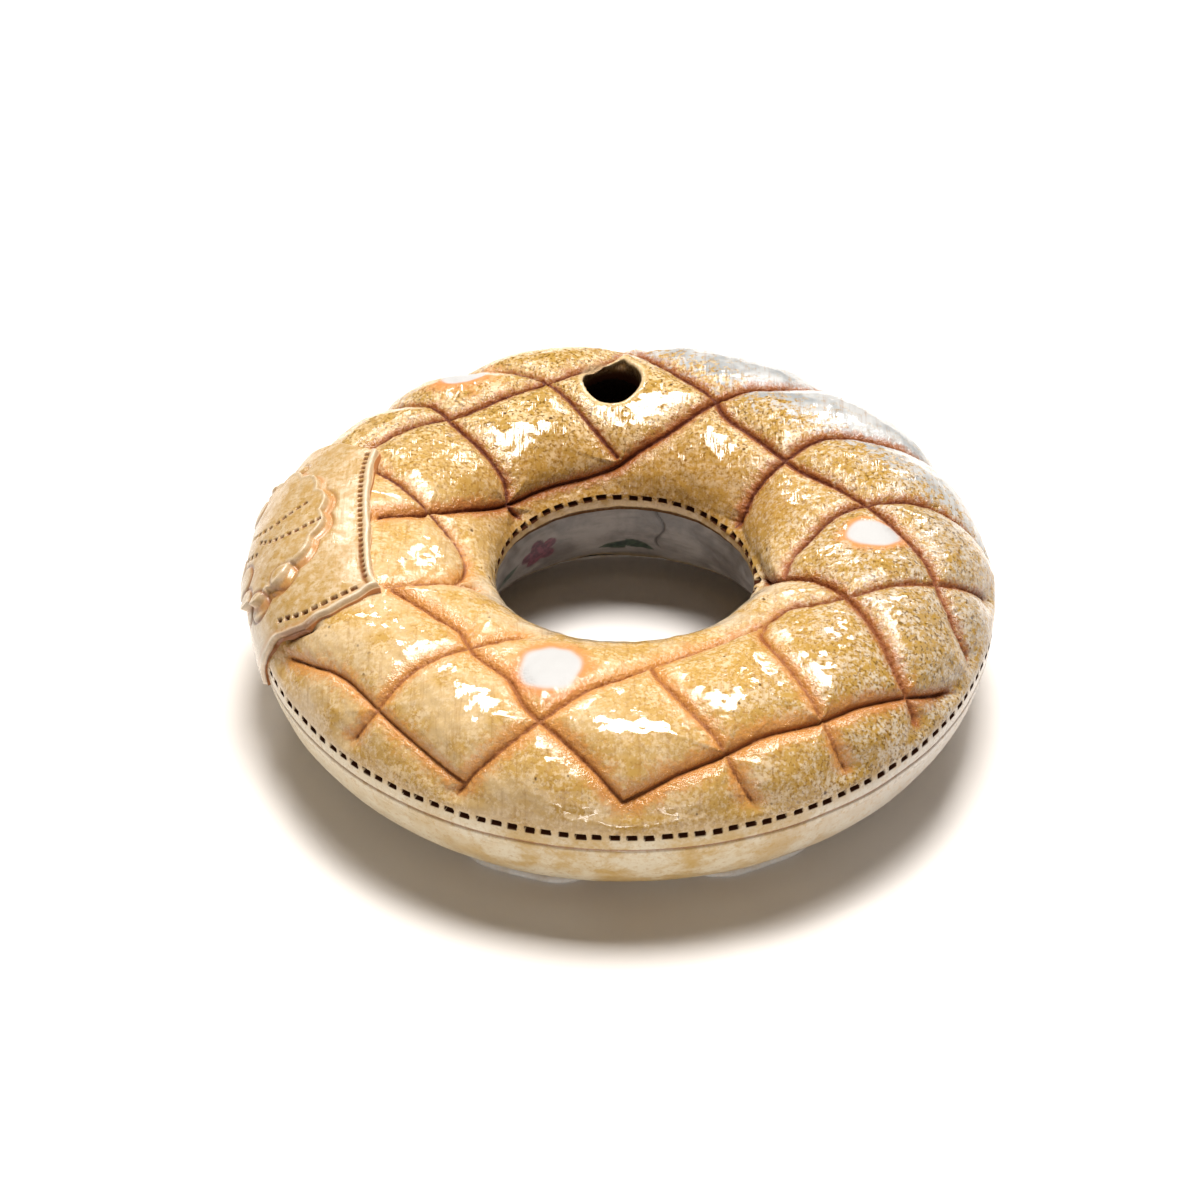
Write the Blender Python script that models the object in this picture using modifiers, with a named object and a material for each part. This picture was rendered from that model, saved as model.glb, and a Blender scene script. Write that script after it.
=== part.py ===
# Stoneware doughnut: a hollow ring-shaped vessel with a quilted, cushion-like top.
# Metres, +Z up. The origin is the centre of the doughnut's hole, on the surface it stands on.
# Azimuth is measured from the front (-Y) towards +X. The section angle starts at the outer
# equator (0), goes over the crest (90) to the inner equator (180), and under the base (270).

from math import atan2, ceil, copysign, cos, degrees, hypot, pi, radians, sin

import bmesh
import bpy
import numpy as np
from mathutils import Vector
from mathutils.kdtree import KDTree

# Driving dimensions of the ring
OUTER_RADIUS = 0.075
HOLE_RADIUS = 0.026
CREST_RADIUS = 0.0504
CREST_HEIGHT = 0.0422
OUTER_EQUATOR_HEIGHT = 0.0248
INNER_EQUATOR_HEIGHT = 0.027
WALL = 0.005
BASE_LIFT = 0.0004
BELLY_POWER = 0.91

# Mesh of the outer skin: columns round the ring, rows round its section
COLUMNS = 112
TOP_ROWS = 28
BASE_ROWS = 9
CUSHION_START = -9.0
CUSHION_END = 182.3
BASE_WALL_START = 188.0

# Quilting of the top
SEAM_DEPTH = 0.0029
SEAM_REACH = 0.0034
SEAM_STEP = 0.0004
SEAM_FADE_OUTER = (2.0, 14.0)
SEAM_FADE_INNER = (172.0, 182.0)
SNAP_SHARE = 0.38
SNAP_PULL = 0.85
LIP_RECESS = 0.0010
LIP_RECESS_END = 235.0

# Vent hole in the top, at the back
VENT_AZIMUTH = -176.8
VENT_RADIUS_ON_RING = 0.0498
VENT_HALF_WIDTH = 0.0061
VENT_HALF_LENGTH = 0.0075
VENT_LIP_WIDTH = 0.0022
VENT_LIP_DROP = 0.0011
VENT_BOTTOM = 0.024
VENT_TOP = 0.060
VENT_NICK_RADIUS = 0.0012
VENT_NICK_AZIMUTH = -179.6
VENT_NICK_RADIUS_ON_RING = 0.0573
VENT_SIDES = 32

# Hollow inside the wall
HOLLOW_COLUMNS = 40
HOLLOW_ROWS = 10

# Applied patch on the left, draped from the crest down over the outer equator. The back and front
# edges are (section, azimuth) points, and the crest edge is (azimuth, section) points.
PATCH_BACK_EDGE = ((-15.0, -114.0), (30.0, -116.5), (60.0, -115.5), (88.0, -113.0))
PATCH_FRONT_EDGE = ((-15.0, -72.0), (10.0, -69.5), (30.0, -68.0), (45.0, -65.2), (60.0, -64.2),
                    (88.0, -64.5))
PATCH_CREST_EDGE = ((-116.0, 79.0), (-108.0, 82.5), (-101.0, 86.0), (-93.5, 88.0), (-86.0, 89.5),
                    (-77.0, 87.5), (-69.0, 84.5), (-64.0, 84.5))
PATCH_TOP = 0.0012
PATCH_BOTTOM = -0.0030
PATCH_COLUMNS = 16
PATCH_ROWS = 14

# Scalloped medallion on the patch
MEDALLION_AZIMUTH = -92.0
MEDALLION_SECTION = 33.0
MEDALLION_HALF_AZIMUTH = 15.2
MEDALLION_HALF_SECTION = 36.0
MEDALLION_TOP = 0.0021
MEDALLION_BOTTOM = 0.0
MEDALLION_SCALLOPS = 12
MEDALLION_SCALLOP_DEPTH = 0.08
MEDALLION_RINGS = 4
MEDALLION_SPOKES = 48

# Lobed foot
FOOT_RADIUS = 0.0585
FOOT_INNER_RADIUS = 0.041
FOOT_THICKNESS = 0.0016
FOOT_LOBES = 8
FOOT_LOBE_AZIMUTH = -19.0
FOOT_LOBE_HALF_WIDTH = 14.0
FOOT_LOBE_REACH = 0.0048
FOOT_OUTER_POINTS = 96
FOOT_INNER_POINTS = 32
FOOT_FIRST_POINT = 1.3
WELD_DISTANCE = 0.00001

# Quilting seams: each is a smooth line through a few (azimuth, section angle) points.
# Two families cross each other, as on a diamond-quilted cloth laid over the ring.
RISING_SEAMS = (
    ((-116, 65), (-125, 74), (-138, 87.5), (-153, 88), (-165, 84), (-175, 71), (-186, 40), (-191, 6)),
    ((137, 5), (145, 62), (152, 81), (156, 97), (165, 123), (175, 141), (184, 154), (196, 161), (212, 161),
     (227, 159), (238, 152), (248, 139), (257, 123), (262, 111), (266, 92)),
    ((-67, 88), (-66, 105), (-66, 125), (-65, 140)),
    ((112, 6), (118, 45), (124, 74), (127, 95), (127, 118), (126, 143), (124, 160), (124, 176)),
    ((-46, 5), (-44, 35), (-43, 65), (-41, 82), (-37, 102), (-32, 122)),
    ((96, 6), (98, 33), (100, 60), (100, 85), (97, 109), (88, 131), (81, 139), (74, 139)),
    ((-26, 5), (-23, 31), (-17, 60), (-9, 87), (0, 101), (13, 116), (30, 121), (46, 119), (54, 117),
     (60, 102), (71, 79), (78, 52), (83, 21), (85, 6)),
    ((0, 22), (8, 37), (16, 45), (25, 51), (35, 47), (43, 44), (51, 33), (58, 16), (63, 4)),
)
FALLING_SEAMS = (
    ((-110, 81), (-106, 99), (-100, 116), (-90, 135), (-80, 141), (-72, 137), (-66, 126)),
    ((-133, 5), (-134, 52), (-136, 73), (-134, 97), (-133, 122), (-131, 143), (-127, 159), (-131, 181)),
    ((-145, 5), (-152, 50), (-160, 80), (-166, 109), (-171, 129), (-177, 146)),
    ((188, 5), (182, 40), (175, 66), (172, 73), (165, 86), (157, 97), (151, 107), (136, 113), (121, 113),
     (108, 102), (97, 89), (88, 76), (80, 60), (74, 47), (70, 28), (69, 6)),
    ((51, 5), (52, 31), (54, 52), (60, 80), (67, 105), (71, 124), (74, 149), (84, 170), (90, 179)),
    ((36, 4), (35, 35), (36, 75), (38, 107), (44, 118)),
    ((20, 8), (18, 30), (16, 56), (11, 82), (8, 98), (7, 109)),
    ((-66, 91), (-59, 98), (-50, 102), (-44, 102), (-37, 95), (-26, 88), (-19, 72), (-11, 58), (-5, 42),
     (0, 22)),
    ((-66, 20), (-62, 28), (-55, 39), (-48, 40), (-37, 33), (-30, 25), (-25, 19)),
)

# Colours: linear RGB, roughness
GLAZE = ((0.52, 0.33, 0.12, 1.0), 0.25)
BARE_CLAY = ((0.78, 0.72, 0.62, 1.0), 0.6)
PATCH_GLAZE = ((0.66, 0.50, 0.27, 1.0), 0.35)
INNER_GLAZE = ((0.30, 0.24, 0.18, 1.0), 0.5)


def clear_scene():
    """Remove every object of the open scene."""
    for item in list(bpy.data.objects):
        bpy.data.objects.remove(item, do_unlink=True)


def make_material(name, finish):
    """A Principled material of one colour and roughness."""
    colour, roughness = finish
    material = bpy.data.materials.new(name)
    material.use_nodes = True
    shader = material.node_tree.nodes["Principled BSDF"]
    shader.inputs["Base Color"].default_value = colour
    shader.inputs["Roughness"].default_value = roughness
    shader.inputs["Metallic"].default_value = 0.0
    material.diffuse_color = colour
    return material


def make_collection(name):
    """A new collection in the scene."""
    collection = bpy.data.collections.new(name)
    bpy.context.scene.collection.children.link(collection)
    return collection


def move_to(item, collection):
    """Leave the object in one collection only."""
    for owner in list(item.users_collection):
        owner.objects.unlink(item)
    collection.objects.link(item)


def new_object(name, builder, material, collection):
    """One named object, whose mesh the builder fills in a bmesh."""
    mesh = bpy.data.meshes.new(name)
    shape = bmesh.new()
    builder(shape)
    bmesh.ops.recalc_face_normals(shape, faces=shape.faces)
    shape.to_mesh(mesh)
    shape.free()
    item = bpy.data.objects.new(name, mesh)
    item.data.materials.append(material)
    collection.objects.link(item)
    return item


def ring_point(azimuth, section, inset=0.0):
    """A point of the ring's section, moved inwards by the inset: a half ellipse over a fuller one."""
    across = cos(radians(section))
    rise = sin(radians(section))
    if rise < 0:
        across = copysign(abs(across) ** BELLY_POWER, across)
        rise = -abs(rise) ** BELLY_POWER
    reach = (OUTER_RADIUS if across > 0 else HOLE_RADIUS) - CREST_RADIUS
    half_width = abs(reach) - inset
    radius = CREST_RADIUS + half_width * across
    inward = (1.0 - across) / 2.0
    middle = OUTER_EQUATOR_HEIGHT + (INNER_EQUATOR_HEIGHT - OUTER_EQUATOR_HEIGHT) * inward
    top = CREST_HEIGHT - inset - middle
    bottom = middle - BASE_LIFT - inset
    height = middle + (top if rise > 0 else bottom) * rise
    turn = radians(azimuth)
    return Vector((radius * sin(turn), -radius * cos(turn), height))


def ring_normal(azimuth, section):
    """The outward direction of the ring's surface."""
    step = 0.5
    along = ring_point(azimuth + step, section) - ring_point(azimuth - step, section)
    over = ring_point(azimuth, section + step) - ring_point(azimuth, section - step)
    return along.cross(over).normalized()


def smooth_line(points, step):
    """Evenly spaced points on a Catmull-Rom curve through the (azimuth, section) points."""
    knots = np.array(points, dtype=float)
    knots = np.vstack([2 * knots[0] - knots[1], knots, 2 * knots[-1] - knots[-2]])
    line = []
    for first in range(len(knots) - 3):
        a, b, c, d = knots[first:first + 4]
        length = (ring_point(*c) - ring_point(*b)).length
        for t in np.linspace(0.0, 1.0, max(2, ceil(length / step)), endpoint=False):
            blend = (2 * b + (c - a) * t + (2 * a - 5 * b + 4 * c - d) * t * t
                     + (3 * b - a - 3 * c + d) * t ** 3) / 2
            line.append(tuple(blend))
    line.append(tuple(knots[-2]))
    return line


def index_seams():
    """All seams' points in one search tree, with the angles of each."""
    angles = []
    for seam in RISING_SEAMS + FALLING_SEAMS:
        angles.extend(smooth_line(seam, SEAM_STEP))
    tree = KDTree(len(angles))
    for number, pair in enumerate(angles):
        tree.insert(ring_point(*pair), number)
    tree.balance()
    return tree, angles


def ramp(value, start, end):
    """0 before start, 1 after end, smooth between."""
    share = min(1.0, max(0.0, (value - start) / (end - start)))
    return share * share * (3 - 2 * share)


def vent_distance(point):
    """How far a point lies outside the vent's oval in plan; negative inside it."""
    turn = radians(VENT_AZIMUTH)
    along = Vector((sin(turn), -cos(turn), 0.0))
    across = Vector((cos(turn), sin(turn), 0.0))
    offset = Vector((point.x, point.y, 0.0)) - along * VENT_RADIUS_ON_RING
    scaled = hypot(offset.dot(along) / VENT_HALF_LENGTH, offset.dot(across) / VENT_HALF_WIDTH)
    return (scaled - 1.0) * VENT_HALF_WIDTH


def relief(section, seam_distance, point):
    """Height of the cushion's surface over the plain ring."""
    fade = ramp(section, *SEAM_FADE_OUTER) * (1.0 - ramp(section, *SEAM_FADE_INNER))
    height = -SEAM_DEPTH * fade * np.exp(-seam_distance / SEAM_REACH)
    edge = max(0.0, vent_distance(point))
    if point.z > OUTER_EQUATOR_HEIGHT and edge < VENT_LIP_WIDTH:
        height -= VENT_LIP_DROP * (1.0 - edge / VENT_LIP_WIDTH) ** 2
    if CUSHION_END < section < LIP_RECESS_END:
        height -= LIP_RECESS * (1.0 - ramp(section, BASE_WALL_START, LIP_RECESS_END))
    return height


def section_angles():
    """The rows of the skin: close together on the cushion, wider on the base."""
    top = np.linspace(CUSHION_START, CUSHION_END, TOP_ROWS)
    base = np.linspace(BASE_WALL_START, CUSHION_START + 360.0, BASE_ROWS + 1)[:-1]
    return [float(angle) for angle in np.concatenate([top, base])]


def nearest_on_seam(azimuth, section, tree, angles):
    """The nearest seam's angles and distance; azimuths are brought within half a turn."""
    _, number, distance = tree.find(ring_point(azimuth, section))
    seam_azimuth, seam_section = angles[number]
    turns = round((azimuth - seam_azimuth) / 360.0)
    return seam_azimuth + 360.0 * turns, seam_section, distance


def skin_point(azimuth, section, tree, angles):
    """A point of the quilted skin, slid onto a seam that passes close by."""
    seam_azimuth, seam_section, distance = nearest_on_seam(azimuth, section, tree, angles)
    radius = hypot(*ring_point(azimuth, section).xy)
    limit = SNAP_SHARE * 2 * pi * radius / COLUMNS
    on_cushion = SEAM_FADE_OUTER[0] < section < SEAM_FADE_INNER[1]
    if on_cushion and distance < limit:
        azimuth += (seam_azimuth - azimuth) * SNAP_PULL
        section += (seam_section - section) * SNAP_PULL
        distance = nearest_on_seam(azimuth, section, tree, angles)[2]
    point = ring_point(azimuth, section)
    height = relief(section, distance, point)
    return point + ring_normal(azimuth, section) * height, height


def split_along_grooves(shape, heights):
    """Split each quad along the diagonal that lies deeper, so that grooves stay unbroken."""
    shape.verts.index_update()
    for face in list(shape.faces):
        if len(face.verts) != 4:
            continue
        a, b, c, d = face.verts
        if heights[a.index] + heights[c.index] < heights[b.index] + heights[d.index]:
            bmesh.utils.face_split(face, a, c)
        else:
            bmesh.utils.face_split(face, b, d)


def make_skin(material, collection):
    """The quilted outer skin: a torus whose points are set by azimuth and section angle."""
    rows = section_angles()
    bpy.ops.mesh.primitive_torus_add(
        major_segments=COLUMNS, minor_segments=len(rows), major_radius=CREST_RADIUS, minor_radius=WALL)
    item = bpy.context.object
    item.name = "ring"
    item.data.name = "ring"
    item.data.materials.append(material)
    move_to(item, collection)
    tree, angles = index_seams()
    shape = bmesh.new()
    shape.from_mesh(item.data)
    heights = []
    for vert in shape.verts:
        azimuth = degrees(atan2(vert.co.x, -vert.co.y))
        radius = hypot(vert.co.x, vert.co.y) - CREST_RADIUS
        row = round(degrees(atan2(vert.co.z, radius)) / 360.0 * len(rows)) % len(rows)
        vert.co, height = skin_point(azimuth, rows[row], tree, angles)
        heights.append(height)
    split_along_grooves(shape, heights)
    bmesh.ops.recalc_face_normals(shape, faces=shape.faces)
    shape.to_mesh(item.data)
    shape.free()
    return item


def make_hollow(material, collection):
    """The hollow inside the wall, as a plain torus set inwards by the wall's thickness."""
    bpy.ops.mesh.primitive_torus_add(
        major_segments=HOLLOW_COLUMNS, minor_segments=HOLLOW_ROWS,
        major_radius=CREST_RADIUS, minor_radius=WALL)
    item = bpy.context.object
    item.name = "hollow"
    item.data.materials.append(material)
    move_to(item, collection)
    for vert in item.data.vertices:
        azimuth = degrees(atan2(vert.co.x, -vert.co.y))
        radius = hypot(vert.co.x, vert.co.y) - CREST_RADIUS
        section = degrees(atan2(vert.co.z, radius))
        vert.co = ring_point(azimuth, section, inset=WALL)
    return item


def upright_cylinder(name, azimuth, radius_on_ring, half_sizes, heights, material, collection):
    """An oval upright cutter, its long axis along the ring's radius."""
    turn = radians(azimuth)
    bottom, top = heights
    place = (radius_on_ring * sin(turn), -radius_on_ring * cos(turn), (bottom + top) / 2)
    bpy.ops.mesh.primitive_cylinder_add(
        vertices=VENT_SIDES, radius=1.0, depth=top - bottom, location=place, rotation=(0.0, 0.0, turn))
    item = bpy.context.object
    item.name = name
    item.data.materials.append(material)
    for vert in item.data.vertices:
        vert.co.x *= half_sizes[0]
        vert.co.y *= half_sizes[1]
    move_to(item, collection)
    return item


def make_vent(material, collection):
    """The vent's oval shaft, and the small nick in its far rim."""
    heights = (VENT_BOTTOM, VENT_TOP)
    half_sizes = (VENT_HALF_WIDTH, VENT_HALF_LENGTH)
    upright_cylinder("vent", VENT_AZIMUTH, VENT_RADIUS_ON_RING, half_sizes, heights, material, collection)
    nick_sizes = (VENT_NICK_RADIUS, VENT_NICK_RADIUS)
    nick_heights = (CREST_HEIGHT - WALL, VENT_TOP)
    upright_cylinder("vent_nick", VENT_NICK_AZIMUTH, VENT_NICK_RADIUS_ON_RING, nick_sizes, nick_heights,
                     material, collection)


def along_edge(edge, value):
    """Where a patch edge lies: the pairs' second angle at a value of their first."""
    firsts = [pair[0] for pair in edge]
    seconds = [pair[1] for pair in edge]
    return float(np.interp(value, firsts, seconds))


def drape(item, top, bottom, place):
    """Lay a flat sheet on the ring by place(), and thicken it from top down to bottom."""
    for vert in item.data.vertices:
        azimuth, section = place(vert.co)
        vert.co = ring_point(azimuth, section) + ring_normal(azimuth, section) * top
    shell = item.modifiers.new("thickness", "SOLIDIFY")
    shell.thickness = top - bottom
    shell.offset = -1.0
    shell.use_even_offset = False


def make_patch(material, collection):
    """The applied rectangular patch, laid over the ring's left side."""
    low, high = PATCH_FRONT_EDGE[0][0], PATCH_FRONT_EDGE[-1][0]

    def place(spot):
        up = (spot.y + 1) / 2
        section = low + (high - low) * up
        back = along_edge(PATCH_BACK_EDGE, section)
        front = along_edge(PATCH_FRONT_EDGE, section)
        azimuth = back + (front - back) * (spot.x + 1) / 2
        return azimuth, low + (along_edge(PATCH_CREST_EDGE, azimuth) - low) * up

    bpy.ops.mesh.primitive_grid_add(x_subdivisions=PATCH_COLUMNS, y_subdivisions=PATCH_ROWS, size=2.0)
    item = bpy.context.object
    item.name = "patch"
    item.data.materials.append(material)
    move_to(item, collection)
    drape(item, PATCH_TOP, PATCH_BOTTOM, place)


def make_medallion(material, collection):
    """The scalloped round medallion that lies on the patch."""

    def place(spot):
        angle = atan2(spot.y, spot.x)
        scallop = 1.0 - MEDALLION_SCALLOP_DEPTH * (1.0 - abs(sin(angle * MEDALLION_SCALLOPS / 2)))
        return (MEDALLION_AZIMUTH + MEDALLION_HALF_AZIMUTH * spot.x * scallop,
                MEDALLION_SECTION + MEDALLION_HALF_SECTION * spot.y * scallop)

    def disc(shape):
        rings = []
        for number in range(1, MEDALLION_RINGS + 1):
            circle = bmesh.ops.create_circle(
                shape, segments=MEDALLION_SPOKES, radius=number / MEDALLION_RINGS, cap_ends=number == 1)
            rings.append(circle["verts"])
        for inner, outer in zip(rings, rings[1:]):
            for spoke in range(MEDALLION_SPOKES):
                following = (spoke + 1) % MEDALLION_SPOKES
                shape.faces.new((inner[spoke], outer[spoke], outer[following], inner[following]))

    item = new_object("medallion", disc, material, collection)
    drape(item, MEDALLION_TOP, MEDALLION_BOTTOM, place)


def foot_radius(azimuth):
    """Outer radius of the foot: a circle with eight broad lobes."""
    pitch = 360.0 / FOOT_LOBES
    offset = (azimuth - FOOT_LOBE_AZIMUTH + pitch / 2) % pitch - pitch / 2
    share = min(1.0, abs(offset) / FOOT_LOBE_HALF_WIDTH)
    return FOOT_RADIUS + FOOT_LOBE_REACH * (1.0 - share ** 4)


def make_foot(material, collection):
    """The thin lobed foot, as a flat outline with a round opening, extruded."""
    outline = bpy.data.curves.new("foot_outline", "CURVE")
    outline.dimensions = "2D"
    outline.fill_mode = "BOTH"
    outline.extrude = FOOT_THICKNESS / 2
    rims = ((FOOT_OUTER_POINTS, foot_radius), (FOOT_INNER_POINTS, lambda azimuth: FOOT_INNER_RADIUS))
    for count, radius_at in rims:
        spline = outline.splines.new("POLY")
        spline.points.add(count - 1)
        spline.use_cyclic_u = True
        for number, point in enumerate(spline.points):
            azimuth = FOOT_FIRST_POINT + 360.0 * number / count
            radius = radius_at(azimuth)
            turn = radians(azimuth)
            point.co = (radius * sin(turn), -radius * cos(turn), 0.0, 1.0)
    curve = bpy.data.objects.new("foot_outline", outline)
    curve.location = (0.0, 0.0, FOOT_THICKNESS / 2)
    collection.objects.link(curve)
    item = curve_to_mesh(curve, "foot", collection)
    item.data.materials.append(material)


def curve_to_mesh(curve, name, collection):
    """Replace a curve object by its welded mesh."""
    bpy.context.view_layer.update()
    graph = bpy.context.evaluated_depsgraph_get()
    mesh = bpy.data.meshes.new_from_object(curve.evaluated_get(graph))
    shape = bmesh.new()
    shape.from_mesh(mesh)
    bmesh.ops.remove_doubles(shape, verts=shape.verts, dist=WELD_DISTANCE)
    bmesh.ops.recalc_face_normals(shape, faces=shape.faces)
    shape.to_mesh(mesh)
    shape.free()
    item = bpy.data.objects.new(name, mesh)
    item.matrix_world = curve.matrix_world
    collection.objects.link(item)
    bpy.data.objects.remove(curve, do_unlink=True)
    return item


def add_boolean(item, name, operation, collection):
    """A Boolean with every object of a collection."""
    boolean = item.modifiers.new(name, "BOOLEAN")
    boolean.operation = operation
    boolean.operand_type = "COLLECTION"
    boolean.collection = collection
    boolean.solver = "EXACT"
    boolean.material_mode = "TRANSFER"


def apply_and_clear(item, collections):
    """Keep the object's evaluated mesh, and remove what it was made with."""
    bpy.context.view_layer.update()
    graph = bpy.context.evaluated_depsgraph_get()
    mesh = bpy.data.meshes.new_from_object(item.evaluated_get(graph))
    item.modifiers.clear()
    item.data = mesh
    for collection in collections:
        for helper in list(collection.objects):
            bpy.data.objects.remove(helper, do_unlink=True)
        bpy.data.collections.remove(collection)


def build():
    """The fired vessel: one body, hollow, open at the vent."""
    clear_scene()
    doughnut = make_collection("doughnut")
    additions = make_collection("additions")
    cutters = make_collection("cutters")
    ring = make_skin(make_material("glaze", GLAZE), doughnut)
    patch_glaze = make_material("patch_glaze", PATCH_GLAZE)
    make_patch(patch_glaze, additions)
    make_medallion(patch_glaze, additions)
    make_foot(make_material("bare_clay", BARE_CLAY), additions)
    inner_glaze = make_material("inner_glaze", INNER_GLAZE)
    make_hollow(inner_glaze, cutters)
    make_vent(inner_glaze, cutters)
    add_boolean(ring, "applied_parts", "UNION", additions)
    add_boolean(ring, "hollow_and_vent", "DIFFERENCE", cutters)
    apply_and_clear(ring, (additions, cutters))
    ring.data.shade_smooth()


build()
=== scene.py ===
# Looks of the quilted stoneware doughnut: glaze, punched stitches, patch, vent and foot.
# Metres, +Z up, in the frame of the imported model. Azimuth runs from the front (-Y) towards +X.
# The section angle starts at the outer equator (0) and goes over the crest (90) to the inner one (180).
from math import ceil, cos, pi, radians, sin

import bpy
import numpy as np
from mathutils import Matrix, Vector
from mathutils.kdtree import KDTree


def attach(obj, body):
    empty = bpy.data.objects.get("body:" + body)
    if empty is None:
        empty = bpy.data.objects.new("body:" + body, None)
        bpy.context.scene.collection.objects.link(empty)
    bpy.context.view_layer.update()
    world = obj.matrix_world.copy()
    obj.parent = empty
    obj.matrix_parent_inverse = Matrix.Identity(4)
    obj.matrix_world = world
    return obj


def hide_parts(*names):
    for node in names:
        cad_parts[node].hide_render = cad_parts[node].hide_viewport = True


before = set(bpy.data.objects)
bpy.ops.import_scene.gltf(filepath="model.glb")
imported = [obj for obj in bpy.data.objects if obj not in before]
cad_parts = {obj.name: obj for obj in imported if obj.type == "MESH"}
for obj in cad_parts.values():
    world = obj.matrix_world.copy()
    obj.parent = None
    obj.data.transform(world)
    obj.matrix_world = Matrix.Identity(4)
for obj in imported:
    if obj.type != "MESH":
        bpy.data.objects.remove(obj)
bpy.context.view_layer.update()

BODY = "root"
NODE = "ring"
MM = 0.001

# Ring section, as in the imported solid
OUTER_RADIUS = 75.0 * MM
HOLE_RADIUS = 26.0 * MM
CREST_RADIUS = 50.4 * MM
CREST_HEIGHT = 42.2 * MM
OUTER_EQUATOR_HEIGHT = 24.8 * MM
INNER_EQUATOR_HEIGHT = 27.0 * MM
WALL = 5.0 * MM
BASE_LIFT = 0.4 * MM
BELLY_POWER = 0.91

# The clay's slow unevenness
SWELL_HEIGHT = 0.22 * MM
SWELL_SIZE = 14.0 * MM
SWELL_BELOW = 0.35

# Quilting
SEAM_DEPTH = 2.9 * MM
SEAM_REACH = 3.4 * MM
SEAM_CUT = 0.55 * MM
SEAM_CUT_HALF = 0.42 * MM
SEAM_STEP = 0.25 * MM
SEAM_CRACK_HALF = 0.45 * MM
SEAM_CORE_REACH = 0.9 * MM
SEAM_HALO_REACH = 3.1 * MM
SEAM_FADE_OUTER = (3.0, 15.0)
SEAM_FADE_INNER = (170.0, 179.0)
LIP_START, LIP_END = 182.3, 185.0
LIP_RECESS = 1.0 * MM
LIP_RECESS_END = 235.0
RIB_PITCH = 0.9 * MM

# Section angles at which one piece of the skin ends and the next begins
BASE_TOP = -12.0
OUTER_BAND_TOP = 6.0
CREST_SPLIT = 86.0
INNER_BAND_TOP = 171.0
INNER_BAND_BOTTOM = 186.0
INNER_WALL_BOTTOM = 236.0

# Punched stitches
OUTER_STITCHES = 144
OUTER_STITCH_SECTION = 0.0
INNER_STITCHES = 52
INNER_STITCH_SECTION = 177.5
STITCH_LENGTH = 1.8 * MM
STITCH_WIDTH = 0.85 * MM
STITCH_DEPTH = 1.6 * MM
SEAM_LINE_SECTION = -7.5
SEAM_LINE_HALF = 0.28 * MM
SEAM_LINE_DEPTH = 0.45 * MM

# Vent hole
VENT_AZIMUTH = -176.8
VENT_RADIUS_ON_RING = 49.8 * MM
VENT_HALF_WIDTH = 6.1 * MM
VENT_HALF_LENGTH = 7.5 * MM
VENT_LIP_SHARE = 1.32
VENT_LIP_DROP = 0.9 * MM
VENT_SHAFT = 5.4 * MM
VENT_FLOOR_SHARE = 0.5
VENT_NICK_ANGLE = -22.0
VENT_NICK_HALF = 10.0
VENT_NICK_SHARE = 0.16

# Wad marks: azimuth, section angle, half width along the ring, half width across, flash reach
WADS = (
    (-17.5, 98.0, 6.2 * MM, 6.8 * MM, 3.4 * MM),
    (86.5, 91.0, 4.6 * MM, 5.8 * MM, 2.4 * MM),
    (-147.0, 60.0, 5.2 * MM, 4.6 * MM, 5.0 * MM),
)
WAD_DEPTH = 0.12 * MM

# Patch and medallion
PATCH_BACK_EDGE = ((-15.0, -114.0), (30.0, -116.5), (60.0, -115.5), (88.0, -113.0))
PATCH_FRONT_EDGE = ((-15.0, -72.0), (10.0, -69.5), (30.0, -68.0), (45.0, -65.2), (60.0, -64.2), (88.0, -64.5))
PATCH_CREST_EDGE = ((-116.0, 79.0), (-108.0, 82.5), (-101.0, 86.0), (-93.5, 88.0), (-86.0, 89.5),
                    (-77.0, 87.5), (-69.0, 84.5), (-64.0, 84.5))
PATCH_TOP = 1.25 * MM
PATCH_BOTTOM = -3.0 * MM
PATCH_EDGE_ROUND = 0.55 * MM
PATCH_GAP_DEPTH = 0.9 * MM
MEDALLION_AZIMUTH = -92.0
MEDALLION_SECTION = 33.0
MEDALLION_HALF_AZIMUTH = 15.2
MEDALLION_HALF_SECTION = 36.0
MEDALLION_RISE = 0.95 * MM
MEDALLION_SCALLOPS = 12
MEDALLION_SCALLOP_DEPTH = 0.08

# Foot
FOOT_RADIUS = 58.5 * MM
FOOT_INNER_RADIUS = 41.0 * MM
FOOT_THICKNESS = 1.6 * MM
FOOT_LOBES = 8
FOOT_LOBE_AZIMUTH = -19.0
FOOT_LOBE_HALF_WIDTH = 14.0
FOOT_LOBE_REACH = 4.8 * MM
# Its outline in section: (share of the way out, share of the thickness)
FOOT_PROFILE = ((0.0, 0.0), (0.5, 0.0), (0.9, 0.06), (1.0, 0.22), (1.0, 0.5), (0.97, 0.8),
                (0.93, 0.95), (0.87, 1.0), (0.7, 1.03), (0.45, 1.1), (0.0, 1.1), (0.0, 0.0))

# Photograph's camera: height above the horizon, distance, focal length and where the ring's axis falls
CAMERA_ELEVATION = 39.25
CAMERA_DISTANCE = 813.7 * MM
CAMERA_TARGET_HEIGHT = 20.0 * MM
FOCAL_PIXELS = 3992.0
PHOTO_PIXELS = 1200.0
AXIS_PIXEL = (624.45, 605.13)

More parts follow.
